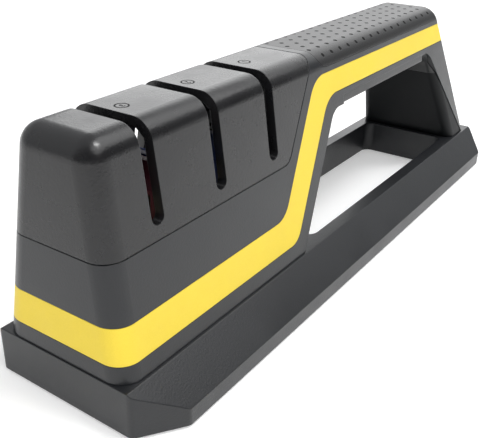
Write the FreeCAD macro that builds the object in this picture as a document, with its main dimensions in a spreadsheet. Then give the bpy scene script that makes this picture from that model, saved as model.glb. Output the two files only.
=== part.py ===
import FreeCAD, Part
import math
import os

import Sketcher
from FreeCAD import Placement, Rotation, Vector

# Three-stage pull-through knife sharpener with a carrying handle.
# X runs along the base from the sharpening head to the rear, Y across it,
# Z up; the origin lies on the table under the middle of the base.

doc = FreeCAD.newDocument("knife_sharpener")
sheet = doc.addObject("Spreadsheet::Sheet", "Dims")

SIZES = {
    # base tray
    "base_length": 220.0,
    "overcut": 6.0,
    "base_width": 58.8,
    "foot_proud": 0.8,
    "lip_height": 4.75,
    "deck_height": 13.0,
    "deck_overhang": 0.65,
    "front_chamfer_run": 11.5,
    "rear_chamfer_run": 8.5,
    "chamfer_depth": 7.9,
    "corner_round": 2.0,
    "tray_wall": 2.4,
    "deck_thick": 2.5,
    "window_front_gap": 10.3,
    "window_rear_gap": 2.1,
    "window_side_gap": 4.2,
    "window_round": 3.5,
    "foot_length": 12.0,
    "foot_width": 8.0,
    "foot_thick": 2.0,
    "foot_seat_wall": 1.0,
    "front_foot_inset": 20.0,
    "rear_foot_inset": 15.0,
    "foot_side_inset": 6.4,
    # outer form of the body
    "body_half_width": 20.15,
    "side_draft": 0.16,
    "body_top": 67.5,
    "front_offset": 0.35,
    "front_draft": 0.046,
    "rear_setback": 6.4,
    "rear_slope": 0.546,
    "edge_round": 5.7,
    "rear_round": 0.9,
    "shell_wall": 2.6,
    # pillar, finger gap and leg
    "pillar_slope": 0.629,
    "pillar_foot": 78.5,
    "pillar_core_low": 30.0,
    "handle_depth": 17.6,
    "underside_round": 6.0,
    "liner_lead": 6.3,
    "liner_depth": 2.8,
    "liner_inset": 0.2,
    "liner_wall": 2.6,
    "liner_fit": 0.15,
    "tongue_lift": 0.25,
    "leg_depth": 13.1,
    "leg_front_slope": 0.57,
    "leg_corner_round": 8.0,
    "leg_skin": 1.0,
    "leg_split_setback": 1.15,
    "leg_split_gap": 0.25,
    "leg_shoulder_round": 10.0,
    "panel_drop": 6.8,
    "panel_floor": 2.5,
    "leg_edge_round": 3.2,
    "strip_edge_round": 0.8,
    "strip_setback": 8.5,
    # accent band
    "band_low": 17.65,
    "band_wide": 9.1,
    "band_setback": 3.2,
    "band_climb_wide": 5.6,
    "band_handle_lift": 4.75,
    "band_handle_wide": 6.65,
    "band_round_low": 6.3,
    "band_round_in": 8.0,
    "band_round_high": 9.5,
    "inlay_depth": 1.3,
    "inlay_gap": 0.1,
    # head cover and slots
    "seam_height": 41.55,
    "seam_setback": 4.5,
    "seam_slope": 0.645,
    "seam_gap": 0.25,
    "seam_gap_depth": 1.0,
    "seam_round": 4.5,
    "first_slot": 19.1,
    "slot_pitch": 23.9,
    "slot_width": 4.2,
    "slot_lift": 3.25,
    # grip pad
    "pad_lead": 3.6,
    "pad_lift": 1.9,
    "pad_round": 4.0,
    # sharpening chamber and stages
    "chamber_low_setback": 4.5,
    "chamber_step": 20.0,
    "chamber_lead": 0.8,
    "stage_gap": 0.4,
    "frame_floor_top": 28.5,
    "frame_floor_thick": 2.5,
    "frame_lead": 1.2,
    "carrier_gap": 0.9,
    "carrier_floor_thick": 2.5,
    "carrier_cavity_gap": 0.3,
    "wheel_roof_gap": 0.6,
    "lintel_high": 2.2,
    "lintel_thick": 1.8,
    "guide_roof_thick": 1.2,
    "guide_rise": 3.2,
    "guide_mouth": 9.6,
    "guide_slot_side": 0.3,
    "guide_slot_drop": 0.8,
    # grinding wheels
    "wheel_radius": 7.8,
    "wheel_thick": 3.2,
    "wheel_gap": 7.7,
    "wheel_bevel": 0.7,
    "spacer_radius": 3.4,
    "wheel_floor_gap": 2.4,
    "axle_radius": 1.5,
    "axle_fit": 0.08,
    "axle_short": 0.1,
    "axle_skew": 30.0,
    "post_gap": 0.55,
    "post_thick": 2.8,
    "post_half_width": 3.4,
    "post_above": 3.0,
    # carbide cutters
    "cutter_width": 3.5,
    "cutter_half_length": 8.8,
    "cutter_thick": 1.8,
    "cutter_height": 40.5,
    "cutter_lean": 20.0,
    "cutter_screw_drop": 4.8,
    "rib_half_thick": 1.5,
    "rib_half_length": 8.0,
    "small_screw_radius": 1.0,
    "small_screw_reach": 1.2,
    "small_head_radius": 1.9,
    "small_head_thick": 1.3,
    # housing screws
    "screw_radius": 1.5,
    "screw_clearance": 0.1,
    "screw_head_radius": 3.0,
    "screw_head_thick": 2.0,
    "screw_reach": 5.0,
    "screw_boss_radius": 3.2,
    "screw_boss_height": 7.0,
    "front_screw_x": 10.5,
    "rear_screw_lead": 3.3,
    "screw_half_span": 15.0,
    "rear_screw_half_span": 9.0,
}

for row, (alias, value) in enumerate(SIZES.items(), start=1):
    sheet.set(f"A{row}", alias.replace("_", " "))
    sheet.set(f"B{row}", str(value))
    sheet.setAlias(f"B{row}", alias)
doc.recompute()


class Dim:
    """A length that keeps the formula of sheet names it came from."""

    def __init__(self, value, text):
        self.value = float(value)
        self.text = text

    def __add__(self, other):
        other = as_dim(other)
        return Dim(self.value + other.value, f"({self.text} + {other.text})")

    def __sub__(self, other):
        other = as_dim(other)
        return Dim(self.value - other.value, f"({self.text} - {other.text})")

    def __mul__(self, other):
        other = as_dim(other)
        return Dim(self.value * other.value, f"({self.text} * {other.text})")

    def __truediv__(self, other):
        other = as_dim(other)
        return Dim(self.value / other.value, f"({self.text} / {other.text})")

    def __radd__(self, other):
        return as_dim(other) + self

    def __rsub__(self, other):
        return as_dim(other) - self

    def __rmul__(self, other):
        return as_dim(other) * self

    def __neg__(self):
        return Dim(-self.value, f"(0 - {self.text})")


def as_dim(number):
    return number if isinstance(number, Dim) else Dim(number, f"({float(number)})")


def size(alias):
    return Dim(SIZES[alias], f"Dims.{alias}")


def cosine(angle):
    return Dim(math.cos(math.radians(angle.value)), f"cos({angle.text})")


def sine(angle):
    return Dim(math.sin(math.radians(angle.value)), f"sin({angle.text})")


def bind(item, path, amount):
    """Ties a property of an object to its sheet formula."""
    item.setExpression(path, as_dim(amount).text)


def new_body(name):
    body = doc.addObject("PartDesign::Body", name)
    body.Label = name
    return body


def sketch_on(body, plane, name, lift=None):
    """A sketch on one of the body's own origin planes, moved along its normal by lift."""
    sketch = body.newObject("Sketcher::SketchObject", name)
    face = [f for f in body.Origin.OriginFeatures if f.Role == plane][0]
    sketch.AttachmentSupport = [(face, "")]
    sketch.MapMode = "FlatFace"
    if lift is not None:
        bind(sketch, "AttachmentOffset.Base.z", lift)
    return sketch


def turn_sketch(sketch, axis, angle):
    """Turns an attached sketch about one of its own axes."""
    sketch.AttachmentOffset = Placement(Vector(0, 0, 0), Rotation(axis, angle.value))
    bind(sketch, "AttachmentOffset.Rotation.Angle", angle)


def pin(sketch, geo, pos, x, y):
    """Places a sketch point at x, y measured from the sketch origin."""
    for kind, axis, amount in (("DistanceX", -2, as_dim(x)), ("DistanceY", -1, as_dim(y))):
        if amount.value == 0.0:
            sketch.addConstraint(Sketcher.Constraint("PointOnObject", geo, pos, axis))
        else:
            index = sketch.addConstraint(Sketcher.Constraint(kind, -1, 1, geo, pos, amount.value))
            sketch.setExpression(f"Constraints[{index}]", amount.text)


def outline(sketch, corners):
    """Closes a line through corners (x, y) or (x, y, rounding)."""
    spots = [Vector(as_dim(c[0]).value, as_dim(c[1]).value, 0) for c in corners]
    rounds = [as_dim(c[2]) if len(c) > 2 else None for c in corners]
    count = len(corners)
    entry, leave, arcs = list(spots), list(spots), {}
    for i, rounding in enumerate(rounds):
        if rounding is None:
            continue
        back = (spots[i - 1] - spots[i]).normalize()
        ahead = (spots[(i + 1) % count] - spots[i]).normalize()
        half = back.getAngle(ahead) / 2
        reach = rounding.value / math.tan(half)
        entry[i] = spots[i] + back * reach
        leave[i] = spots[i] + ahead * reach
        centre = spots[i] + (back + ahead).normalize() * (rounding.value / math.sin(half))
        left_turn = back.cross(ahead).z < 0
        first, last = (entry[i], leave[i]) if left_turn else (leave[i], entry[i])
        circle = Part.Circle(centre, Vector(0, 0, 1), rounding.value)
        arcs[i] = (circle, first - centre, last - centre, left_turn)
    lines = []
    for i in range(count):
        segment = Part.LineSegment(leave[i], entry[(i + 1) % count])
        lines.append(sketch.addGeometry(segment, False))
    for i in range(count):
        x, y = corners[i][0], corners[i][1]
        if i not in arcs:
            sketch.addConstraint(Sketcher.Constraint("Coincident", lines[i - 1], 2, lines[i], 1))
            pin(sketch, lines[i], 1, x, y)
            continue
        circle, first, last, left_turn = arcs[i]
        start = math.atan2(first.y, first.x)
        end = math.atan2(last.y, last.x)
        arc = sketch.addGeometry(Part.ArcOfCircle(circle, start, end), False)
        knee = sketch.addGeometry(Part.Point(spots[i]), True)
        pin(sketch, knee, 1, x, y)
        sketch.addConstraint(Sketcher.Constraint("PointOnObject", knee, 1, lines[i - 1]))
        sketch.addConstraint(Sketcher.Constraint("PointOnObject", knee, 1, lines[i]))
        into, out = (1, 2) if left_turn else (2, 1)
        sketch.addConstraint(Sketcher.Constraint("Tangent", lines[i - 1], 2, arc, into))
        sketch.addConstraint(Sketcher.Constraint("Tangent", arc, out, lines[i], 1))
        index = sketch.addConstraint(Sketcher.Constraint("Radius", arc, rounds[i].value))
        sketch.setExpression(f"Constraints[{index}]", rounds[i].text)


def ring(sketch, x, y, radius):
    """Adds a circle with its centre at x, y."""
    centre = Vector(as_dim(x).value, as_dim(y).value, 0)
    geo = sketch.addGeometry(Part.Circle(centre, Vector(0, 0, 1), radius.value), False)
    pin(sketch, geo, 3, x, y)
    index = sketch.addConstraint(Sketcher.Constraint("Radius", geo, radius.value))
    sketch.setExpression(f"Constraints[{index}]", radius.text)


def oblong(sketch, x, y, half_long, half_wide):
    """Adds a rectangle with its centre at x, y."""
    outline(sketch, [
        (x - half_long, y - half_wide),
        (x + half_long, y - half_wide),
        (x + half_long, y + half_wide),
        (x - half_long, y + half_wide),
    ])


def pad(body, sketch, length, symmetric=False, reverse=False):
    feature = body.newObject("PartDesign::Pad", f"{sketch.Name}_pad")
    feature.Profile = sketch
    feature.SideType = "Symmetric" if symmetric else "One side"
    feature.Reversed = reverse
    bind(feature, "Length", length)
    return feature


def pocket(body, sketch, length, symmetric=False, reverse=False):
    feature = body.newObject("PartDesign::Pocket", f"{sketch.Name}_pocket")
    feature.Profile = sketch
    feature.SideType = "Symmetric" if symmetric else "One side"
    feature.Reversed = reverse
    bind(feature, "Length", length)
    return feature


def pick(shape, test):
    """Names of the edges whose bounding box passes the test."""
    return [f"Edge{i}" for i, edge in enumerate(shape.Edges, start=1) if test(edge.BoundBox)]


def round_edges(body, radius, test):
    """Fillets the chosen edges of the body's last feature."""
    doc.recompute()
    base = body.Tip
    feature = body.newObject("PartDesign::Fillet", f"{body.Name}_round")
    feature.Base = (base, pick(base.Shape, test))
    bind(feature, "Radius", radius)
    return feature


def chamfer_edges(body, amount, test):
    """Bevels the chosen edges of the body's last feature."""
    doc.recompute()
    base = body.Tip
    feature = body.newObject("PartDesign::Chamfer", f"{body.Name}_bevel")
    feature.Base = (base, pick(base.Shape, test))
    bind(feature, "Size", amount)
    return feature


def fuse(name, *items):
    joined = doc.addObject("Part::MultiFuse", name)
    joined.Shapes = list(items)
    joined.Refine = True
    return joined


def cut(name, base, *tools):
    result = doc.addObject("Part::Cut", name)
    result.Base = base
    result.Tool = tools[0] if len(tools) == 1 else fuse(f"{name}_tools", *tools)
    result.Refine = True
    return result


def common(name, base, tool):
    result = doc.addObject("Part::Common", name)
    result.Base = base
    result.Tool = tool
    result.Refine = True
    return result


def part_fillet(name, base, radius, test):
    """Fillets the chosen edges of a boolean result."""
    doc.recompute()
    result = doc.addObject("Part::Fillet", name)
    result.Base = base
    indices = [int(edge[4:]) for edge in pick(base.Shape, test)]
    result.Edges = [(index, radius.value, radius.value) for index in indices]
    return result


DECK = size("deck_height")
TOP = size("body_top")
PAST = size("overcut")
OVER = TOP + PAST
BEVEL_SHARE = 2 - math.sqrt(2)
SPAN = size("base_width") * 2
FLOOR = size("foot_proud")
LENGTH = size("base_length")

# Places that several pieces share.
slope = size("pillar_slope")
pillar_foot = size("pillar_foot")
rear_foot = LENGTH - size("rear_setback")
leg_front = rear_foot - size("leg_depth")
split_foot = rear_foot - size("leg_skin")
under = TOP - size("handle_depth")
seam = size("seam_height")
seam_foot = pillar_foot - size("seam_setback")
chamber_low_end = pillar_foot - size("chamber_low_setback")
chamber_end = pillar_foot + size("chamber_lead")


def half_width(height, inset=0.0):
    """Half width of the drafted body at a height."""
    return size("body_half_width") - size("side_draft") * (height - DECK) - inset


def front_face(height, inset=0.0):
    return size("front_offset") + size("front_draft") * (height - DECK) + inset


def rear_face(height, inset=0.0):
    return rear_foot - size("rear_slope") * (height - DECK) - inset


def leaning(foot, slope, height, base=DECK):
    """X of a leaning line that starts at foot on the base height."""
    return foot + slope * (height - base)


def trapezoid(low, high, inset):
    """Cross-section of the drafted body between two heights."""
    wide = half_width(low, inset)
    narrow = half_width(high, inset)
    return [(-wide, low), (wide, low), (narrow, high), (-narrow, high)]


def body_form(name, inset, low, edges):
    """The outer form of the body, all faces moved inwards by inset, with round, bevelled or plain edges."""
    body = new_body(name)
    section = sketch_on(body, "YZ_Plane", f"{name}_section")
    high = TOP - inset
    outline(section, trapezoid(low, high, inset))
    pad(body, section, LENGTH)
    ends = sketch_on(body, "XZ_Plane", f"{name}_ends")
    below = low - 1
    outline(ends, [(-1, below), (front_face(below, inset), below), (front_face(OVER, inset), OVER), (-1, OVER)])
    outline(ends, [(LENGTH + 1, below), (LENGTH + 1, OVER), (rear_face(OVER, inset), OVER),
                   (rear_face(below, inset), below)])
    pocket(body, ends, SPAN, symmetric=True)
    middle = LENGTH.value / 2

    def upper(box):
        front = box.XMax < middle and box.ZLength > 1
        return front or (box.ZMin > high.value - 0.5 and (box.XMax < middle or box.XLength > middle / 2))

    rounding = size("edge_round") - inset
    if edges == "bevelled":
        chamfer_edges(body, rounding * BEVEL_SHARE, upper)
    if edges == "round":
        round_edges(body, rounding, upper)
        round_edges(body, size("rear_round"), lambda box: box.XMin > middle and box.ZLength > rounding.value)
    return body


def slab(name, corners):
    """A side-view outline carried right across the body."""
    body = new_body(name)
    side = sketch_on(body, "XZ_Plane", f"{name}_side")
    outline(side, corners)
    pad(body, side, SPAN, symmetric=True)
    return body


parts = {}

# The outer form is shared by every visible moulding, so that they lie flush.
outer_form = body_form("outer_form", as_dim(0.0), DECK, "round")
core_form = body_form("core_form", size("inlay_depth"), DECK - 1, "bevelled")
wall_form = body_form("wall_form", size("shell_wall"), DECK - 1, "bevelled")
liner_form = body_form("liner_form", size("liner_inset"), DECK, "plain")
tongue_form = body_form("tongue_form", size("shell_wall") + size("liner_fit"), DECK, "plain")

# The accent band follows the block, climbs the pillar and runs along the handle.
band_top = size("band_low") + size("band_wide")
band_outer = pillar_foot - size("band_setback")
band_inner = band_outer - size("band_climb_wide")
handle_band_low = under + size("band_handle_lift")
handle_band_top = handle_band_low + size("band_handle_wide")


def band_corners(grow):
    low = size("band_low") - grow
    high = band_top + grow
    handle_low = handle_band_low - grow
    handle_high = handle_band_top + grow
    outer = band_outer + grow
    inner = band_inner - grow
    return [
        (-PAST, low),
        (leaning(outer, slope, low, size("band_low")), low, size("band_round_low")),
        (leaning(outer, slope, handle_low, size("band_low")), handle_low, size("band_round_high")),
        (LENGTH + PAST, handle_low),
        (LENGTH + PAST, handle_high),
        (leaning(inner, slope, handle_high, band_top), handle_high, size("band_round_high")),
        (leaning(inner, slope, high, band_top), high, size("band_round_in")),
        (-PAST, high),
    ]


band_slab = slab("band_slab", band_corners(as_dim(0.0)))
groove_slab = slab("groove_slab", band_corners(size("inlay_gap")))
band_blank = common("band_blank", outer_form, band_slab)
parts["accent_band"] = cut("accent_band", band_blank, core_form)


pad_low = handle_band_top + size("pad_lift")
pad_start = leaning(seam_foot, size("seam_slope"), TOP, seam) + size("pad_lead")


def pad_corners(grow):
    low = pad_low - grow
    start = pad_start - grow
    return [(start, OVER), (start, low, size("pad_round")), (LENGTH + PAST, low), (LENGTH + PAST, OVER)]


pad_slab = slab("pad_slab", pad_corners(as_dim(0.0)))
recess_slab = slab("recess_slab", pad_corners(size("inlay_gap")))
pad_blank = common("pad_blank", outer_form, pad_slab)
parts["grip_pad"] = cut("grip_pad", pad_blank, core_form)

# The head cover is parted from the body by a level seam that turns up the pillar.
def head_corners(grow):
    low = seam - grow
    return [
        (-PAST, low),
        (seam_foot + grow, low, size("seam_round")),
        (leaning(seam_foot + grow, size("seam_slope"), OVER, low), OVER),
        (-PAST, OVER),
    ]


head_slab = slab("head_slab", head_corners(as_dim(0.0)))
reveal_slab = slab("reveal_slab", head_corners(size("seam_gap")))
rebate_form = body_form("rebate_form", size("seam_gap_depth"), DECK - 1, "bevelled")
seam_reveal = cut("seam_reveal", reveal_slab, rebate_form)
slot_form = new_body("slot_form")
slot_side = sketch_on(slot_form, "XZ_Plane", "slot_side")
slot_half = size("slot_width") / 2
slot_left = size("first_slot") - slot_half
slot_right = size("first_slot") + slot_half
slot_round = slot_half * 0.97
slot_bottom = seam + size("slot_lift")
outline(slot_side, [
    (slot_left, slot_bottom, slot_round),
    (slot_right, slot_bottom, slot_round),
    (slot_right, OVER),
    (slot_left, OVER),
])
slot_pad = pad(slot_form, slot_side, SPAN, symmetric=True)
slot_row = slot_form.newObject("PartDesign::LinearPattern", "slot_row")
slot_row.Originals = [slot_pad]
slot_row.Direction = (slot_side, ["H_Axis"])
slot_row.Occurrences = 3
bind(slot_row, "Length", size("slot_pitch") * 2)
slot_form.Tip = slot_row

head_blank = common("head_blank", outer_form, head_slab)
parts["head_cover"] = cut("head_cover", head_blank, wall_form, slot_form)

# The finger gap: pillar edge, step for the liner, then the split line of the leg.
step_top = under + size("liner_depth")
step_start = leaning(pillar_foot, slope, under) + size("liner_lead")
leg_slope = -size("leg_front_slope")
split_top = leaning(leg_front, leg_slope, step_top) - size("leg_split_setback")
split_slope = (split_top - split_foot) / (step_top - DECK)
shoulder = size("leg_shoulder_round")
below_deck = DECK - 2

gap_slab = slab("gap_slab", [
    (leaning(pillar_foot, slope, below_deck), below_deck),
    (leaning(pillar_foot, slope, under), under, size("underside_round")),
    (step_start, under),
    (step_start, step_top),
    (leaning(split_foot, split_slope, step_top), step_top, shoulder),
    (leaning(split_foot, split_slope, below_deck), below_deck),
])

# The strip under the handle has crisp edges; the leg and its top corner are well rounded.
liner_start = step_start + size("inlay_gap")
strip_end = leaning(leg_front, leg_slope, under) - size("strip_setback")
panel_top = under - size("panel_drop")
strip_slab = slab("strip_slab", [
    (liner_start, under),
    (strip_end, under),
    (strip_end, OVER),
    (liner_start, OVER),
])
leg_slab = slab("leg_slab", [
    (strip_end, under),
    (leaning(leg_front, leg_slope, under), under, size("leg_corner_round")),
    (leaning(leg_front, leg_slope, DECK), DECK),
    (LENGTH + PAST, DECK),
    (LENGTH + PAST, OVER),
    (strip_end, OVER),
])


def beside_gap(box):
    low = DECK.value + 0.1 < box.ZMax < under.value + 0.1 and box.XMax < leg_front.value + 0.1
    return low and box.YMin * box.YMax > 0


strip_blank = common("strip_blank", liner_form, strip_slab)
strip_form = part_fillet("strip_form", strip_blank, size("strip_edge_round"), beside_gap)
leg_blank = common("leg_blank", liner_form, leg_slab)
leg_form = part_fillet("leg_form", leg_blank, size("leg_edge_round"), beside_gap)
loop_form = fuse("loop_form", strip_form, leg_form)
liner_slab = slab("liner_slab", [
    (liner_start, under),
    (leaning(leg_front, leg_slope, under), under, size("leg_corner_round")),
    (leaning(leg_front, leg_slope, panel_top), panel_top),
    (leaning(split_foot, split_slope, panel_top) - size("leg_split_gap"), panel_top),
    (leaning(split_foot, split_slope, step_top) - size("leg_split_gap"), step_top, shoulder),
    (liner_start, step_top),
])
liner_skin = common("liner_skin", loop_form, liner_slab)
skin = size("liner_wall")
tongue_start = liner_start + size("shell_wall")
lift = size("tongue_lift")
top = lift + skin
corner = size("leg_corner_round")
tongue_slab = slab("tongue_slab", [
    (tongue_start, under + lift),
    (leaning(leg_front, leg_slope, under + lift) + lift, under + lift, corner + lift),
    (leaning(leg_front, leg_slope, panel_top) + lift, panel_top),
    (leaning(leg_front, leg_slope, panel_top) + top, panel_top),
    (leaning(leg_front, leg_slope, under + top) + top, under + top, corner + top),
    (tongue_start, under + top),
])
liner_tongue = common("liner_tongue", tongue_form, tongue_slab)
parts["handle_liner"] = fuse("handle_liner", liner_skin, liner_tongue)

panel_slab = slab("panel_slab", [
    (leaning(leg_front, leg_slope, DECK), DECK),
    (leaning(split_foot, split_slope, DECK) - size("leg_split_gap"), DECK),
    (leaning(split_foot, split_slope, panel_top) - size("leg_split_gap"), panel_top),
    (leaning(leg_front, leg_slope, panel_top), panel_top),
])
panel_blank = common("panel_blank", loop_form, panel_slab)
panel_floor = DECK + size("panel_floor")
panel_back = slab("panel_back", [
    (leaning(leg_front, leg_slope, panel_floor) + skin, panel_floor),
    (LENGTH, panel_floor),
    (LENGTH, panel_top + 1),
    (leaning(leg_front, leg_slope, panel_top + 1) + skin, panel_top + 1),
])
panel_hollow = common("panel_hollow", wall_form, panel_back)
panel_skin = cut("panel_skin", panel_blank, panel_hollow)

# The body shell keeps the chamber, the inlay recesses and the finger gap open.
chamber_slab = slab("chamber_slab", [
    (-1, below_deck),
    (chamber_low_end, below_deck),
    (chamber_low_end, size("chamber_step")),
    (chamber_end, size("chamber_step")),
    (chamber_end, OVER),
    (-1, OVER),
])
chamber = common("chamber", wall_form, chamber_slab)
recess_form = fuse("recess_form", groove_slab, recess_slab)
recesses = cut("recesses", recess_form, core_form)

handle_core = slab("handle_core", [
    (chamber_end + skin, size("pillar_core_low")),
    (leaning(pillar_foot, slope, size("pillar_core_low")) - skin * 1.2, size("pillar_core_low")),
    (leaning(pillar_foot, slope, under + skin) - skin * 1.2, under + skin),
    (tongue_start - 0.1, under + skin),
    (tongue_start - 0.1, under - 1),
    (leaning(leg_front, leg_slope, under - 1), under - 1),
    (leaning(leg_front, leg_slope, panel_floor), panel_floor),
    (LENGTH, panel_floor),
    (LENGTH, OVER),
    (leaning(seam_foot, size("seam_slope"), OVER, seam) + skin * 1.4, OVER),
    (chamber_end + skin, seam + (chamber_end - seam_foot - skin * 0.4) / size("seam_slope")),
])
handle_hollow = common("handle_hollow", wall_form, handle_core)

SCREWS = [
    (size("front_screw_x"), size("screw_half_span")),
    (leg_front + size("rear_screw_lead"), size("rear_screw_half_span")),
]
boss_form = new_body("boss_form")
boss_plan = sketch_on(boss_form, "XY_Plane", "boss_plan", DECK)
for x, y in SCREWS:
    ring(boss_plan, x, y, size("screw_boss_radius"))
    ring(boss_plan, x, -y, size("screw_boss_radius"))
pad(boss_form, boss_plan, size("screw_boss_height"))
bore_form = new_body("bore_form")
bore_plan = sketch_on(bore_form, "XY_Plane", "bore_plan", DECK - 1)
for x, y in SCREWS:
    ring(bore_plan, x, y, size("screw_radius") + size("screw_clearance"))
    ring(bore_plan, x, -y, size("screw_radius") + size("screw_clearance"))
pad(bore_form, bore_plan, size("screw_reach") + 1)

shell_open = cut("shell_open", outer_form, chamber, handle_hollow, recesses, head_slab, seam_reveal, gap_slab)
front_block = slab("front_block", [
    (-1, DECK),
    (chamber_low_end, DECK),
    (chamber_low_end, seam),
    (-1, seam),
])
front_core = common("front_core", core_form, front_block)
shell_bosses = common("shell_bosses", boss_form, front_core)
shell_full = fuse("shell_full", shell_open, shell_bosses)
parts["body_shell"] = cut("body_shell", shell_full, bore_form)
panel_bosses = common("panel_bosses", boss_form, panel_blank)
panel_full = fuse("panel_full", panel_skin, panel_bosses)
parts["leg_panel"] = cut("leg_panel", panel_full, bore_form)

# Base tray: sloped sides, chamfered corners, a window under the handle, hollow below.
base = new_body("base_tray")
section = sketch_on(base, "YZ_Plane", "base_section")
wide = size("base_width") / 2
lip = FLOOR + size("lip_height")
rim = size("body_half_width") + size("deck_overhang")
outline(section, [(-wide, FLOOR), (wide, FLOOR), (wide, lip), (rim, DECK), (-rim, DECK), (-wide, lip)])
pad(base, section, LENGTH)
corners = sketch_on(base, "XY_Plane", "base_corners")
depth = size("chamfer_depth")
for end, run, outward in (
    (as_dim(0.0), size("front_chamfer_run"), -2.0),
    (LENGTH, -size("rear_chamfer_run"), 2.0),
):
    for side in (-1, 1):
        outline(corners, [
            (end + outward, (wide + 2) * side),
            (end + outward, (wide - depth + depth / run * outward) * side),
            (end + run + run / depth * 2, (wide + 2) * side),
        ])
pocket(base, corners, DECK + 2, reverse=True)
round_edges(base, size("corner_round"), lambda box: max(box.XLength, box.YLength) < 0.1 < box.ZLength)
window = sketch_on(base, "XY_Plane", "base_window")
hole = rim - size("window_side_gap")
start = pillar_foot + size("window_front_gap")
end = leg_front - size("window_rear_gap")
turn = size("window_round")
outline(window, [(start, -hole, turn), (end, -hole, turn), (end, hole, turn), (start, hole, turn)])
pocket(base, window, DECK + 2, reverse=True)
wall = size("tray_wall")
inner = hole + wall
for name, half, top in (("low", wide - wall - 1.4, lip - 1.2), ("high", rim + 0.4, DECK - size("deck_thick"))):
    hollow = sketch_on(base, "XY_Plane", f"base_hollow_{name}")
    front = size("front_chamfer_run") + 1
    back = LENGTH - size("rear_chamfer_run") - 1
    outline(hollow, [(front, -half), (back, -half), (back, half), (front, half)])
    outline(hollow, [(start - wall, -inner), (end + wall, -inner), (end + wall, inner), (start - wall, inner)])
    pocket(base, hollow, top, reverse=True)
foot_y = wide - size("foot_side_inset")
foot_long = size("foot_length") / 2
foot_wide = size("foot_width") / 2
seat_wall = size("foot_seat_wall")
FEET = {
    "foot_front_near": (size("front_foot_inset"), -foot_y),
    "foot_front_far": (size("front_foot_inset"), foot_y),
    "foot_rear_near": (LENGTH - size("rear_foot_inset"), -foot_y),
    "foot_rear_far": (LENGTH - size("rear_foot_inset"), foot_y),
}
foot_posts = sketch_on(base, "XY_Plane", "foot_posts", FLOOR)
for x, y in FEET.values():
    oblong(foot_posts, x, y, foot_long + seat_wall, foot_wide + seat_wall)
pad(base, foot_posts, size("lip_height") + 0.5)
post_half = size("screw_head_radius") + seat_wall
screw_posts = sketch_on(base, "XY_Plane", "screw_posts", FLOOR)
for x, y in SCREWS:
    for offset in (y, -y):
        oblong(screw_posts, x, offset, post_half, post_half)
pad(base, screw_posts, DECK - FLOOR - 1)
seats = sketch_on(base, "XY_Plane", "foot_seats", FLOOR)
for x, y in FEET.values():
    oblong(seats, x, y, foot_long, foot_wide)
pocket(base, seats, size("foot_thick") - FLOOR, reverse=True)
bores = sketch_on(base, "XY_Plane", "screw_bores")
wells = sketch_on(base, "XY_Plane", "screw_wells")
for x, y in SCREWS:
    for offset in (y, -y):
        ring(bores, x, offset, size("screw_radius") + size("screw_clearance"))
        ring(wells, x, offset, size("screw_head_radius") + size("screw_clearance"))
pocket(base, bores, DECK + 1, reverse=True)
pocket(base, wells, DECK - size("deck_thick"), reverse=True)
parts["base_tray"] = base

for name, (x, y) in FEET.items():
    foot = new_body(name)
    sole = sketch_on(foot, "XY_Plane", f"{name}_sole")
    oblong(sole, x, y, foot_long, foot_wide)
    pad(foot, sole, size("foot_thick"))
    parts[name] = foot

screws = new_body("base_screws")
screw_top = DECK - size("deck_thick")
heads = sketch_on(screws, "XY_Plane", "screw_heads", screw_top - size("screw_head_thick"))
shanks = sketch_on(screws, "XY_Plane", "screw_shanks", screw_top - 0.5)
for x, y in SCREWS:
    for offset in (y, -y):
        ring(heads, x, offset, size("screw_head_radius"))
        ring(shanks, x, offset, size("screw_radius"))
pad(screws, heads, size("screw_head_thick"))
pad(screws, shanks, size("deck_thick") + size("screw_reach") - 0.5)
parts["base_screws"] = screws

# Stage frame: an open box on the deck that carries the three stages.
frame = new_body("stage_frame")
play = size("shell_wall") + size("stage_gap")
floor_top = size("frame_floor_top")
carrier_length = size("slot_pitch") - size("carrier_gap")
carrier_half = carrier_length / 2
frame_start = size("first_slot") - carrier_half - size("frame_lead")
frame_end = chamber_end - size("stage_gap")
section = sketch_on(frame, "YZ_Plane", "frame_section", frame_start)
outline(section, trapezoid(DECK, floor_top, play))
pad(frame, section, frame_end - frame_start)
hollow = sketch_on(frame, "XZ_Plane", "frame_hollow")
outline(hollow, [
    (frame_start + 2, DECK - 1),
    (chamber_low_end - size("stage_gap") - 2, DECK - 1),
    (chamber_low_end - size("stage_gap") - 2, floor_top - size("frame_floor_thick")),
    (frame_start + 2, floor_top - size("frame_floor_thick")),
])
pocket(frame, hollow, size("screw_half_span") * 2 - 3, symmetric=True)
step = sketch_on(frame, "XZ_Plane", "frame_step")
outline(step, [
    (chamber_low_end - size("stage_gap"), DECK - 1),
    (chamber_end + 1, DECK - 1),
    (chamber_end + 1, size("chamber_step") + size("stage_gap")),
    (chamber_low_end - size("stage_gap"), size("chamber_step") + size("stage_gap")),
])
pocket(frame, step, SPAN, symmetric=True)
notches = sketch_on(frame, "XY_Plane", "frame_notches")
for offset in (SCREWS[0][1], -SCREWS[0][1]):
    ring(notches, SCREWS[0][0], offset, size("screw_boss_radius") + size("stage_gap"))
pocket(frame, notches, DECK + size("screw_boss_height") + size("stage_gap"), reverse=True)
parts["stage_frame"] = frame

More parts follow.
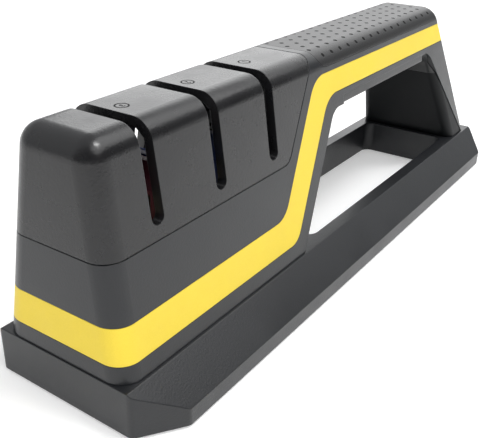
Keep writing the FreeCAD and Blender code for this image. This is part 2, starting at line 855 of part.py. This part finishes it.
STAGES = ("fine", "medium")
COARSE = 2
pocket_floor = floor_top + size("carrier_floor_thick")
wheel_far_face = size("wheel_gap") / 2 + size("wheel_thick")
axle_z = pocket_floor + size("wheel_radius") + size("wheel_floor_gap")
guide_roof = axle_z + size("wheel_radius") + size("wheel_roof_gap")
guide_lip = guide_roof + size("guide_roof_thick")
carrier_top = guide_lip + size("guide_rise")
guide_slot_bottom = slot_bottom - size("guide_slot_drop")
skew = size("axle_skew")
cavity_half = (wheel_far_face * sine(skew) + size("wheel_radius") * cosine(skew)
               + size("carrier_cavity_gap"))
post_inner = wheel_far_face + size("post_gap")
post_outer = post_inner + size("post_thick")
axle_length = (post_outer - size("axle_short")) * 2


def stage_carrier(name, number):
    """Open block with a V guide on top; x is measured from the stage's own slot."""
    carrier = new_body(name)
    block = sketch_on(carrier, "YZ_Plane", f"{name}_section")
    outline(block, trapezoid(floor_top, carrier_top, play))
    pad(carrier, block, carrier_length, symmetric=True)
    guide = sketch_on(carrier, "XZ_Plane", f"{name}_guide")
    mouth = size("guide_mouth")
    throat = slot_half + size("guide_slot_side")
    rise = carrier_top + 0.8
    reach = mouth + (mouth - throat) * 0.8 / (carrier_top - guide_lip)
    outline(guide, [
        (-reach, rise),
        (-throat, guide_lip),
        (-throat, guide_slot_bottom),
        (throat, guide_slot_bottom),
        (throat, guide_lip),
        (reach, rise),
    ])
    pocket(carrier, guide, SPAN, symmetric=True)
    cavity = sketch_on(carrier, "XZ_Plane", f"{name}_cavity")
    lintel = carrier_half - size("lintel_thick")
    lintel_low = guide_roof - size("lintel_high")
    outline(cavity, [
        (-carrier_half - 1, pocket_floor),
        (carrier_half + 1, pocket_floor),
        (carrier_half + 1, lintel_low),
        (lintel, lintel_low),
        (lintel, guide_roof),
        (-lintel, guide_roof),
        (-lintel, lintel_low),
        (-carrier_half - 1, lintel_low),
    ])
    pocket(carrier, cavity, cavity_half * 2, symmetric=True)
    carrier.Placement = Placement(Vector(SIZES["first_slot"] + number * SIZES["slot_pitch"], 0, 0), Rotation())
    bind(carrier, "Placement.Base.x", size("first_slot") + number * size("slot_pitch"))
    parts[name] = carrier
    return carrier


def skewed(item, number):
    """Stands a piece on the stage's axle, turned by the skew."""
    x = size("first_slot") + number * size("slot_pitch")
    item.Placement = Placement(Vector(x.value, 0, axle_z.value), Rotation(Vector(0, 0, 1), skew.value))
    bind(item, "Placement.Base.x", x)
    bind(item, "Placement.Base.z", axle_z)
    bind(item, "Placement.Rotation.Angle", skew)


def grinding_wheel(name, number, side):
    """A wheel turned about the axle with a tapered working rim, side is -1 for the near one."""
    wheel = new_body(name)
    profile = sketch_on(wheel, "XZ_Plane", f"{name}_profile")
    near = size("wheel_gap") / 2
    far = near + size("wheel_thick")
    bore = size("axle_radius")
    tyre = size("wheel_radius")
    bevel = size("wheel_bevel")
    outline(profile, [
        (near * side, bore),
        (far * side, bore),
        (far * side, tyre),
        (near * side, tyre - bevel),
    ])
    turned = wheel.newObject("PartDesign::Revolution", f"{name}_turned")
    turned.Profile = profile
    turned.ReferenceAxis = (profile, ["H_Axis"])
    turned.Angle = 360
    skewed(wheel, number)
    parts[name] = wheel


for number, stage in enumerate(STAGES):
    carrier = stage_carrier(f"{stage}_carrier", number)
    cheeks = sketch_on(carrier, "XY_Plane", f"{stage}_posts")
    turn_sketch(cheeks, Vector(0, 0, 1), skew)
    bind(cheeks, "AttachmentOffset.Base.z", pocket_floor - 0.5)
    for side in (-1, 1):
        outline(cheeks, [
            (post_inner * side, -size("post_half_width")),
            (post_outer * side, -size("post_half_width")),
            (post_outer * side, size("post_half_width")),
            (post_inner * side, size("post_half_width")),
        ])
    pad(carrier, cheeks, axle_z + size("post_above") - pocket_floor + 0.5)
    bearing = sketch_on(carrier, "YZ_Plane", f"{stage}_bearing")
    turn_sketch(bearing, Vector(0, 1, 0), skew)
    ring(bearing, 0, axle_z, size("axle_radius") + size("axle_fit"))
    pocket(carrier, bearing, axle_length + 4, symmetric=True)

    axle = new_body(f"{stage}_axle")
    rod = sketch_on(axle, "YZ_Plane", f"{stage}_rod")
    ring(rod, 0, 0, size("axle_radius"))
    pad(axle, rod, axle_length, symmetric=True)
    skewed(axle, number)
    parts[f"{stage}_axle"] = axle

    sleeve = new_body(f"{stage}_spacer")
    tube = sketch_on(sleeve, "YZ_Plane", f"{stage}_tube")
    ring(tube, 0, 0, size("spacer_radius"))
    ring(tube, 0, 0, size("axle_radius"))
    pad(sleeve, tube, size("wheel_gap"), symmetric=True)
    skewed(sleeve, number)
    parts[f"{stage}_spacer"] = sleeve

    grinding_wheel(f"{stage}_wheel_near", number, -1)
    grinding_wheel(f"{stage}_wheel_far", number, 1)

# Coarse stage: two carbide bars crossed in a V, screwed to a middle rib.
coarse = stage_carrier("coarse_carrier", COARSE)
rib = sketch_on(coarse, "XY_Plane", "coarse_rib", pocket_floor - 0.5)
rib_x = size("rib_half_length")
rib_y = size("rib_half_thick")
outline(rib, [(-rib_x, -rib_y), (rib_x, -rib_y), (rib_x, rib_y), (-rib_x, rib_y)])
pad(coarse, rib, guide_slot_bottom - pocket_floor + 0.5)
lean = size("cutter_lean")
screw_x = size("cutter_screw_drop") * sine(lean)
screw_z = size("cutter_height") - size("cutter_screw_drop") * cosine(lean)
taps = sketch_on(coarse, "XZ_Plane", "coarse_taps")
ring(taps, screw_x, screw_z, size("small_screw_radius"))
ring(taps, -screw_x, screw_z, size("small_screw_radius"))
pocket(coarse, taps, size("rib_half_thick") * 4, symmetric=True)
stage_x = size("first_slot") + COARSE * size("slot_pitch")
small_screws = new_body("carbide_screws")
for name, side in (("carbide_near", 1), ("carbide_far", -1)):
    cutter = new_body(name)
    face = sketch_on(cutter, "XZ_Plane", f"{name}_face", rib_y if side == 1 else -rib_y)
    half = size("cutter_width") / 2
    long = size("cutter_half_length")
    outline(face, [(-half, -long), (half, -long), (half, long), (-half, long)])
    ring(face, 0, -size("cutter_screw_drop"), size("small_screw_radius"))
    pad(cutter, face, size("cutter_thick"), reverse=side == -1)
    tilt = Rotation(Vector(0, 1, 0), lean.value * side)
    cutter.Placement = Placement(Vector(stage_x.value, 0, SIZES["cutter_height"]), tilt)
    bind(cutter, "Placement.Base.x", stage_x)
    bind(cutter, "Placement.Base.z", size("cutter_height"))
    bind(cutter, "Placement.Rotation.Angle", lean)
    parts[name] = cutter
    seat = rib_y + size("cutter_thick")
    shank = sketch_on(small_screws, "XZ_Plane", f"{name}_shank",
                      (rib_y - size("small_screw_reach")) * side)
    ring(shank, -screw_x * side, screw_z, size("small_screw_radius"))
    pad(small_screws, shank, seat - rib_y + size("small_screw_reach") + 0.2, reverse=side == -1)
    cap = sketch_on(small_screws, "XZ_Plane", f"{name}_cap", seat * side)
    ring(cap, -screw_x * side, screw_z, size("small_head_radius"))
    pad(small_screws, cap, size("small_head_thick"), reverse=side == -1)
small_screws.Placement = Placement(Vector(stage_x.value, 0, 0), Rotation())
bind(small_screws, "Placement.Base.x", stage_x)
parts["carbide_screws"] = small_screws

doc.recompute()

for item in doc.Objects:
    if "Invalid" in item.State or "Error" in item.State:
        raise RuntimeError(f"{item.Name} did not build: {item.State}")

# The finished pieces move back by half the length, so that the origin is central.
os.makedirs("parts", exist_ok=True)
for name, item in parts.items():
    shape = item.Shape.copy()
    if shape.isNull() or not shape.isValid():
        raise RuntimeError(f"{name} has no valid shape")
    item.Label = name
    shape.translate(Vector(-LENGTH.value / 2, 0, 0))
    shape.exportStep(f"parts/{name}.step")
    print(name, len(shape.Solids), round(shape.Volume, 1))
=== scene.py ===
import math

import bpy
from mathutils import Matrix, Vector


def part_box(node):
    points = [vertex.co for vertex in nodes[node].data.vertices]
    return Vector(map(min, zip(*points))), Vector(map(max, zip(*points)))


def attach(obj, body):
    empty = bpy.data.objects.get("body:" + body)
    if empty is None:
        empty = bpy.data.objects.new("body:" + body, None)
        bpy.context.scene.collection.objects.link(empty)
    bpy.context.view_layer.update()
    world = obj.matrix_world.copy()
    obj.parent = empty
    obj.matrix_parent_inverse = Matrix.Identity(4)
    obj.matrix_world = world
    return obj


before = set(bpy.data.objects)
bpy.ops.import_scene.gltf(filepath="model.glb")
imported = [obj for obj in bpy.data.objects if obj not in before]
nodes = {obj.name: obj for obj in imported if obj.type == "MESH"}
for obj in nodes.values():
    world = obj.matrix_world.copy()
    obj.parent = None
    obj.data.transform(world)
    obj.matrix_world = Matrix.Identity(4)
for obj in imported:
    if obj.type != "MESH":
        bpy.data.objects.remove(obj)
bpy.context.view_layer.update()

MM = 0.001
HALF_LENGTH = 110.0  # mm from the front of the base to the origin


# Materials
MIX_COLOURS = (6, 7)  # the colour inputs of a Mix node
MIX_FLOATS = (2, 3)  # its plain inputs


class Tree:
    """A node tree under construction, with short calls for its nodes."""

    def __init__(self, tree):
        self.tree = tree

    def link(self, source, target):
        self.tree.links.new(source, target)

    def node(self, kind, **settings):
        made = self.tree.nodes.new(kind)
        for key, value in settings.items():
            setattr(made, key, value)
        return made

    def math(self, operation, a, b=None):
        made = self.node("ShaderNodeMath", operation=operation)
        for slot, value in enumerate((a, b)):
            if value is None:
                continue
            if isinstance(value, (int, float)):
                made.inputs[slot].default_value = value
            else:
                self.link(value, made.inputs[slot])
        return made.outputs[0]

    def spread(self, value, low, high, to_low, to_high, smooth=False):
        made = self.node("ShaderNodeMapRange", interpolation_type="SMOOTHSTEP" if smooth else "LINEAR")
        self.link(value, made.inputs["Value"])
        limits = {"From Min": low, "From Max": high, "To Min": to_low, "To Max": to_high}
        for key, number in limits.items():
            made.inputs[key].default_value = number
        return made.outputs["Result"]


class Paint(Tree):
    """A material under construction."""

    def __init__(self, name, roughness=0.5, specular=0.5, metallic=0.0):
        self.material = bpy.data.materials.new(name)
        self.material.use_nodes = True
        super().__init__(self.material.node_tree)
        self.shader = self.tree.nodes["Principled BSDF"]
        self.shader.inputs["Roughness"].default_value = roughness
        self.shader.inputs["Specular IOR Level"].default_value = specular
        self.shader.inputs["Metallic"].default_value = metallic
        self.place = self.node("ShaderNodeTexCoord").outputs["Object"]
        self.normal = None

    def noise(self, scale, detail, rough, stretch=(1, 1, 1)):
        mapping = self.node("ShaderNodeMapping")
        mapping.inputs["Scale"].default_value = stretch
        self.link(self.place, mapping.inputs["Vector"])
        made = self.node("ShaderNodeTexNoise")
        made.inputs["Scale"].default_value = scale
        made.inputs["Detail"].default_value = detail
        made.inputs["Roughness"].default_value = rough
        self.link(mapping.outputs[0], made.inputs["Vector"])
        return made.outputs["Fac"]

    def cells(self, scale):
        made = self.node("ShaderNodeTexVoronoi", feature="F1")
        made.inputs["Scale"].default_value = scale
        self.link(self.place, made.inputs["Vector"])
        return made.outputs["Distance"]

    def blend(self, factor, first, second):
        made = self.node("ShaderNodeMix", data_type="RGBA")
        self.link(factor, made.inputs[0])
        for slot, value in zip(MIX_COLOURS, (first, second)):
            if isinstance(value, tuple):
                made.inputs[slot].default_value = (*value, 1.0)
            else:
                self.link(value, made.inputs[slot])
        return made.outputs[2]

    def two_tones(self, first, first_share, second, dark, light):
        """Colour between dark and light, mixed by two patterns."""
        tone = self.math("ADD", self.spread(*first, 0.0, first_share),
                         self.spread(*second, 0.0, 1.0 - first_share))
        self.colour(self.blend(tone, dark, light))

    def colour(self, value):
        self.link(value, self.shader.inputs["Base Color"])

    def roughness(self, value):
        self.link(value, self.shader.inputs["Roughness"])

    def bump(self, height, distance, strength=1.0):
        made = self.node("ShaderNodeBump")
        made.inputs["Distance"].default_value = distance
        made.inputs["Strength"].default_value = strength
        self.link(height, made.inputs["Height"])
        if self.normal is not None:
            self.link(self.normal, made.inputs["Normal"])
        self.normal = made.outputs["Normal"]
        self.link(self.normal, self.shader.inputs["Normal"])

    def soften(self, radius):
        """Rounds the shading of sharp edges by radius."""
        bevel = self.node("ShaderNodeBevel", samples=6)
        bevel.inputs["Radius"].default_value = radius
        self.normal = bevel.outputs[0]
        self.link(self.normal, self.shader.inputs["Normal"])


# Patterns per metre: broad tone, handled patches, drawn lines, abrasive grit and its clouding.
CLOUDS = 28.0
PATCHES = 55.0
LINES = 900.0
GRIT = 3800.0
GRIT_CLOUDS = 240.0
NOISE_SPAN = (0.35, 0.65)  # the part of a noise's range that is spread over the two tones


def moulded(name, dark, light, roughness, grain=1900.0, depth=0.05, soften=0.25, specular=0.5):
    """Moulded plastic: two tones, a fine grain and handled patches."""
    paint = Paint(name, roughness, specular)
    paint.soften(soften * MM)
    cloud = paint.noise(CLOUDS, 4.0, 0.6)
    speck = paint.noise(grain * 1.3, 2.0, 0.5)
    paint.two_tones((cloud, *NOISE_SPAN), 0.7, (speck, *NOISE_SPAN), dark, light)
    patches = paint.noise(PATCHES, 5.0, 0.65)
    paint.roughness(paint.spread(patches, 0.3, 0.7, roughness - 0.05, roughness + 0.06))
    fine = paint.noise(grain, 1.0, 0.5)
    coarse = paint.spread(paint.cells(grain * 0.8), 0.0, 0.7, 1.0, 0.0)
    paint.bump(paint.math("ADD", fine, paint.math("MULTIPLY", coarse, 0.5)), depth * MM)
    return paint


def steel(name, tone, roughness, stretch):
    """Ground or drawn metal, with lines along one axis."""
    paint = Paint(name, roughness, metallic=1.0)
    lines = paint.noise(LINES, 3.0, 0.6, stretch)
    paint.colour(paint.blend(lines, tuple(t * 0.8 for t in tone), tone))
    paint.roughness(paint.spread(lines, 0.3, 0.7, roughness - 0.06, roughness + 0.1))
    paint.bump(lines, 0.01 * MM, 0.6)
    return paint


def stone(name, dark, light):
    """Bonded abrasive grit."""
    paint = Paint(name, 0.85, 0.3)
    grit = paint.cells(GRIT)
    cloud = paint.noise(GRIT_CLOUDS, 4.0, 0.6)
    paint.two_tones((grit, 0.1, 0.6), 0.6, (cloud, *NOISE_SPAN), dark, light)
    paint.bump(grit, 0.08 * MM)
    return paint


COOL_DARK = (0.0085, 0.0093, 0.0110)
COOL_LIGHT = (0.013, 0.014, 0.016)
body_paint = moulded("body_plastic", COOL_DARK, COOL_LIGHT, 0.32, 2200.0, 0.018)
base_paint = moulded("base_plastic", COOL_DARK, COOL_LIGHT, 0.36, 2200.0, 0.025, soften=0.45)
head_paint = moulded("head_plastic", (0.0072, 0.0072, 0.0078), (0.011, 0.011, 0.012), 0.26, 1450.0, 0.020)
accent_paint = moulded("accent_plastic", (0.735, 0.550, 0.037), (0.805, 0.610, 0.052), 0.5,
                       2300.0, 0.02, soften=0.1)
liner_paint = moulded("liner_plastic", (0.0085, 0.0090, 0.0098), (0.013, 0.0138, 0.0148), 0.32,
                      2200.0, 0.018)
# Leg panel: its own matte near-black, with the colour lowered further as painted shade for the shadow
# under the handle.
shaded_panel_paint = moulded("panel_plastic", (0.0022, 0.0028, 0.0033), (0.004, 0.0048, 0.0056), 0.5,
                      2500.0, 0.015, specular=0.2)
frame_paint = moulded("frame_plastic", (0.03, 0.03, 0.03), (0.045, 0.045, 0.045), 0.55)
coarse_paint = moulded("coarse_plastic", (0.012, 0.012, 0.013), (0.018, 0.018, 0.02), 0.5)
medium_paint = moulded("medium_plastic", (0.008, 0.022, 0.11), (0.012, 0.032, 0.15), 0.45)
fine_paint = moulded("fine_plastic", (0.10, 0.010, 0.022), (0.14, 0.014, 0.030), 0.45)
spacer_paint = moulded("spacer_plastic", (0.55, 0.54, 0.50), (0.65, 0.64, 0.60), 0.45)
rubber_paint = moulded("foot_rubber", (0.018, 0.018, 0.018), (0.028, 0.028, 0.028), 0.8, 1500.0, 0.05)
mark_paint = moulded("mark_plastic", (0.004, 0.004, 0.004), (0.007, 0.007, 0.007), 0.7, specular=0.15)
stone_medium = stone("medium_stone", (0.24, 0.19, 0.10), (0.42, 0.35, 0.21))
stone_fine = stone("fine_stone", (0.34, 0.28, 0.17), (0.52, 0.45, 0.30))
carbide_paint = steel("carbide", (0.42, 0.42, 0.43), 0.3, (1, 1, 8))
axle_paint = steel("axle_steel", (0.62, 0.62, 0.63), 0.28, (8, 8, 1))
screw_paint = steel("screw_steel", (0.55, 0.55, 0.56), 0.35, (1, 1, 6))

# Grip pad: soft rubber with staggered round dimples, laid out along the curve of the top, with painted
# shade darkening the dimples.
PAD_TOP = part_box("grip_pad")[1].z
PAD_ROUND = 5.7 * MM
PAD_FLAT = 6.58 * MM
DIMPLE_PITCH = 5.37 * MM
DIMPLE_ROW = 3.6 * MM
DIMPLE_INNER = 0.56 * MM
DIMPLE_OUTER = 0.74 * MM
DIMPLE_DEPTH = 0.8 * MM
DIMPLE_START = (96.3 - HALF_LENGTH) * MM
DIMPLE_MARGIN = 1.2 * MM
ROWS_KEPT = 3.5
PITCHES_KEPT = 15.8
PIT_SHADE_COLOUR = (0.002, 0.002, 0.002)
SKIN_ROUGHNESS = 0.38
PIT_ROUGHNESS = 0.95


def dimpled_rubber():
    paint = moulded("grip_rubber", (0.0095, 0.0095, 0.0100), (0.014, 0.014, 0.0148), 0.36, 2300.0, 0.025)
    axes = paint.node("ShaderNodeSeparateXYZ")
    paint.link(paint.place, axes.inputs[0])
    x, y, z = axes.outputs

    # Distance from the middle line, unrolled over the rounded edge.
    across = paint.math("ABSOLUTE", y)
    past_flat = paint.math("MAXIMUM", paint.math("SUBTRACT", across, PAD_FLAT), 0.0)
    bend = paint.math("ARCTAN2", past_flat, paint.math("SUBTRACT", z, PAD_TOP - PAD_ROUND))
    on_flat = paint.math("MINIMUM", across, PAD_FLAT)
    along = paint.math("ADD", on_flat, paint.math("MULTIPLY", bend, PAD_ROUND))

    nearest = None
    for shift in (0.0, 0.5):
        row = paint.math("PINGPONG", paint.math("ADD", along, shift * 2 * DIMPLE_ROW), DIMPLE_ROW)
        start = DIMPLE_START + shift * DIMPLE_PITCH
        column = paint.math("PINGPONG", paint.math("SUBTRACT", x, start), DIMPLE_PITCH / 2)
        squares = [paint.math("MULTIPLY", side, side) for side in (row, column)]
        apart = paint.math("SQRT", paint.math("ADD", *squares))
        nearest = apart if nearest is None else paint.math("MINIMUM", nearest, apart)

    pit = paint.spread(nearest, DIMPLE_INNER, DIMPLE_OUTER, 1.0, 0.0, smooth=True)
    for test, value, limit in (("LESS_THAN", along, ROWS_KEPT * DIMPLE_ROW),
                               ("GREATER_THAN", x, DIMPLE_START - DIMPLE_MARGIN),
                               ("LESS_THAN", x, DIMPLE_START + PITCHES_KEPT * DIMPLE_PITCH)):
        pit = paint.math("MULTIPLY", pit, paint.math(test, value, limit))
    plain = paint.shader.inputs["Base Color"].links[0].from_socket
    # Painted shade: the colour inside the dimples is darkened to near black; the roughness and the bump
    # below give the real pits.
    paint.colour(paint.blend(pit, plain, PIT_SHADE_COLOUR))
    paint.roughness(paint.spread(pit, 0.0, 1.0, SKIN_ROUGHNESS, PIT_ROUGHNESS))
    paint.bump(paint.math("MULTIPLY", pit, -1.0), DIMPLE_DEPTH)
    return paint


PAINTS = {
    "base_tray": base_paint, "body_shell": body_paint, "head_cover": head_paint,
    "accent_band": accent_paint, "grip_pad": dimpled_rubber(), "handle_liner": liner_paint,
    "leg_panel": shaded_panel_paint, "stage_frame": frame_paint, "base_screws": screw_paint,
    "coarse_carrier": coarse_paint, "medium_carrier": medium_paint, "fine_carrier": fine_paint,
    "carbide_near": carbide_paint, "carbide_far": carbide_paint, "carbide_screws": screw_paint,
    "medium_axle": axle_paint, "fine_axle": axle_paint,
    "medium_spacer": spacer_paint, "fine_spacer": spacer_paint,
    "medium_wheel_near": stone_medium, "medium_wheel_far": stone_medium,
    "fine_wheel_near": stone_fine, "fine_wheel_far": stone_fine,
    "foot_front_near": rubber_paint, "foot_front_far": rubber_paint,
    "foot_rear_near": rubber_paint, "foot_rear_far": rubber_paint,
}
for name, thing in nodes.items():
    thing.data.materials.clear()
    thing.data.materials.append(PAINTS[name].material)


# Stage marks on the head cover, a hair above its top face: a dark ring and a plain digit.
MARKS = (("3", 25.0), ("2", 48.8), ("1", 73.7))  # digit, mm from the front of the base
MARK_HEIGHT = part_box("head_cover")[1].z + 0.01 * MM
DIGIT_SIZE = 2.2 * MM
DIGIT_WEIGHT = 0.06 * MM
RING_RADII = (1.40, 1.82)
RING_STEPS = 48


def stand(name, mesh, body):
    thing = bpy.data.objects.new(name, mesh)
    bpy.context.scene.collection.objects.link(thing)
    mesh.materials.append(mark_paint.material)
    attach(thing, body)


def digit_mesh(digit, where):
    curve = bpy.data.curves.new(f"digit_{digit}", "FONT")
    curve.body = digit
    curve.size = DIGIT_SIZE
    curve.offset = DIGIT_WEIGHT
    curve.align_x = "CENTER"
    curve.align_y = "CENTER"
    curve.resolution_u = 4
    letter = bpy.data.objects.new("digit_shape", curve)
    bpy.context.scene.collection.objects.link(letter)
    bpy.context.view_layer.update()
    mesh = bpy.data.meshes.new_from_object(letter.evaluated_get(bpy.context.evaluated_depsgraph_get()))
    bpy.data.objects.remove(letter)
    mesh.transform(Matrix.Translation((where * MM, 0, MARK_HEIGHT)) @ Matrix.Rotation(math.pi, 4, "Z"))
    return mesh


def ring_mesh(digit, where):
    points = []
    for radius in RING_RADII:
        for i in range(RING_STEPS):
            turn = 2 * math.pi * i / RING_STEPS
            along, across = where + radius * math.cos(turn), radius * math.sin(turn)
            points.append((along * MM, across * MM, MARK_HEIGHT))
    quads = []
    for i in range(RING_STEPS):
        after = (i + 1) % RING_STEPS
        quads.append((i, RING_STEPS + i, RING_STEPS + after, after))
    mesh = bpy.data.meshes.new(f"ring_{digit}")
    mesh.from_pydata(points, [], quads)
    return mesh


for digit, from_front in MARKS:
    stand(f"stage_digit_{digit}", digit_mesh(digit, from_front - HALF_LENGTH), "housing")
    stand(f"stage_ring_{digit}", ring_mesh(digit, from_front - HALF_LENGTH), "housing")


# Light
LAMP_AIM = Vector((0, 0, 0.03))


def area(name, at, size, energy, glossy=True):
    lamp = bpy.data.lights.new(name, "AREA")
    lamp.shape = "RECTANGLE"
    lamp.size, lamp.size_y = size
    lamp.energy = energy
    thing = bpy.data.objects.new(name, lamp)
    thing.location = at
    thing.rotation_euler = (LAMP_AIM - Vector(at)).to_track_quat("-Z", "Y").to_euler()
    thing.visible_glossy = glossy
    bpy.context.scene.collection.objects.link(thing)


area("back_soft", (0.98, 0.50, 0.50), (1.1, 0.6), 3.5)
area("top_soft", (0.2, -0.45, 0.85), (1.5, 0.75), 7.5)
area("top_spot", (0.07, -0.34, 0.89), (0.2, 0.2), 2.8)
# The fills light the sides and don't show in the gloss.
area("near_fill", (-0.1, -1.1, 0.5), (0.9, 0.6), 3.6, glossy=False)
area("front_fill", (-1.0, -0.1, 0.5), (0.7, 0.6), 5.4, glossy=False)
area("far_fill", (-0.1, 1.1, 0.45), (0.9, 0.6), 3.6, glossy=False)

# The camera sees a white room. The gloss sees one that is pale on the far side and above,
# and dim on the near side.
ROOM_COLOUR = (0.97, 0.985, 1.0, 1)
ROOM_LEVEL = 0.18
PALE_WAY = Vector((0.40, 0.80, 0.45)).normalized()
DIM_FROM, PALE_FROM = -0.2, 0.55  # cosines to the pale way
DIM_GLOSS, PALE_GLOSS = 0.05, 0.7
WHITE = (1, 1, 1, 1)

world = bpy.data.worlds.new("room")
bpy.context.scene.world = world
world.use_nodes = True
world.node_tree.nodes.clear()
sky = Tree(world.node_tree)
ray = sky.node("ShaderNodeLightPath").outputs
facing = sky.node("ShaderNodeVectorMath", operation="DOT_PRODUCT")
facing.inputs[1].default_value = PALE_WAY
sky.link(sky.node("ShaderNodeTexCoord").outputs["Generated"], facing.inputs[0])
level = sky.node("ShaderNodeMix", data_type="FLOAT")
level.inputs[MIX_FLOATS[0]].default_value = ROOM_LEVEL
sky.link(ray["Is Glossy Ray"], level.inputs[0])
gloss = sky.spread(facing.outputs["Value"], DIM_FROM, PALE_FROM, DIM_GLOSS, PALE_GLOSS, smooth=True)
sky.link(gloss, level.inputs[MIX_FLOATS[1]])
room = sky.node("ShaderNodeBackground")
room.inputs["Color"].default_value = ROOM_COLOUR
sky.link(level.outputs[0], room.inputs["Strength"])
white = sky.node("ShaderNodeBackground")
white.inputs["Color"].default_value = WHITE
white.inputs["Strength"].default_value = 1.0
mixer = sky.node("ShaderNodeMixShader")
sky.link(sky.math("MAXIMUM", ray["Is Camera Ray"], ray["Is Transmission Ray"]), mixer.inputs[0])
sky.link(room.outputs[0], mixer.inputs[1])
sky.link(white.outputs[0], mixer.inputs[2])
sky.link(mixer.outputs[0], sky.node("ShaderNodeOutputWorld").inputs["Surface"])


# Floor: the camera and the gloss see it lifted to white, with the object's shadow left in it.
FLOOR_REACH = 4.0
FLOOR_COLOUR = (0.82, 0.82, 0.82, 1)
FLOOR_GLOW = 0.32
GLOW_NEAR = 0.4
GLOW_FAR = 1.6

corners = [(-FLOOR_REACH, -FLOOR_REACH, 0), (FLOOR_REACH, -FLOOR_REACH, 0),
           (FLOOR_REACH, FLOOR_REACH, 0), (-FLOOR_REACH, FLOOR_REACH, 0)]
floor_mesh = bpy.data.meshes.new("floor")
floor_mesh.from_pydata(corners, [], [(0, 1, 2, 3)])
floor = bpy.data.objects.new("floor", floor_mesh)
bpy.context.scene.collection.objects.link(floor)
floor_paint = Paint("floor", roughness=0.9)
floor_paint.shader.inputs["Base Color"].default_value = FLOOR_COLOUR
floor_paint.shader.inputs["Emission Color"].default_value = WHITE
reach = floor_paint.node("ShaderNodeVectorMath", operation="LENGTH")
floor_paint.link(floor_paint.place, reach.inputs[0])
lift = floor_paint.spread(reach.outputs["Value"], GLOW_NEAR, GLOW_FAR, FLOOR_GLOW, 1.0, smooth=True)
ray = floor_paint.node("ShaderNodeLightPath").outputs
shown = floor_paint.math("MAXIMUM", ray["Is Camera Ray"], ray["Is Glossy Ray"])
glow = floor_paint.math("MULTIPLY", shown, lift)
floor_paint.link(glow, floor_paint.shader.inputs["Emission Strength"])
floor_mesh.materials.append(floor_paint.material)


# Camera, fitted to the straight edges of the photographed object.
YAW = math.radians(36.226)
PITCH = math.radians(26.564)
ROLL = math.radians(0.36)
FOCAL_PX = 721.95
WIDTH, HEIGHT = 480, 438
CENTRE_PX = (209.918, 219.731)
CAMERA_AT = Vector((-198.178, -107.424, 116.634)) * MM
SENSOR = 36.0

forward = Vector((math.cos(YAW) * math.cos(PITCH), math.sin(YAW) * math.cos(PITCH), -math.sin(PITCH)))
right = Vector((math.sin(YAW), -math.cos(YAW), 0))
up = right.cross(forward)
right_rolled = right * math.cos(ROLL) + up * math.sin(ROLL)
up_rolled = up * math.cos(ROLL) - right * math.sin(ROLL)
camera_data = bpy.data.cameras.new("camera")
camera_data.sensor_fit = "HORIZONTAL"
camera_data.sensor_width = SENSOR
camera_data.lens = FOCAL_PX * SENSOR / WIDTH
camera_data.shift_x = (WIDTH / 2 - CENTRE_PX[0]) / WIDTH
camera_data.shift_y = (CENTRE_PX[1] - HEIGHT / 2) / WIDTH
camera_data.clip_start = 0.01
camera_data.clip_end = 20.0
camera = bpy.data.objects.new("camera", camera_data)
pose = Matrix((right_rolled, up_rolled, -forward)).transposed().to_4x4()
pose.translation = CAMERA_AT
camera.matrix_world = pose
bpy.context.scene.collection.objects.link(camera)
bpy.context.scene.camera = camera

bpy.context.scene.view_settings.view_transform = "Standard"

bpy.context.view_layer.update()
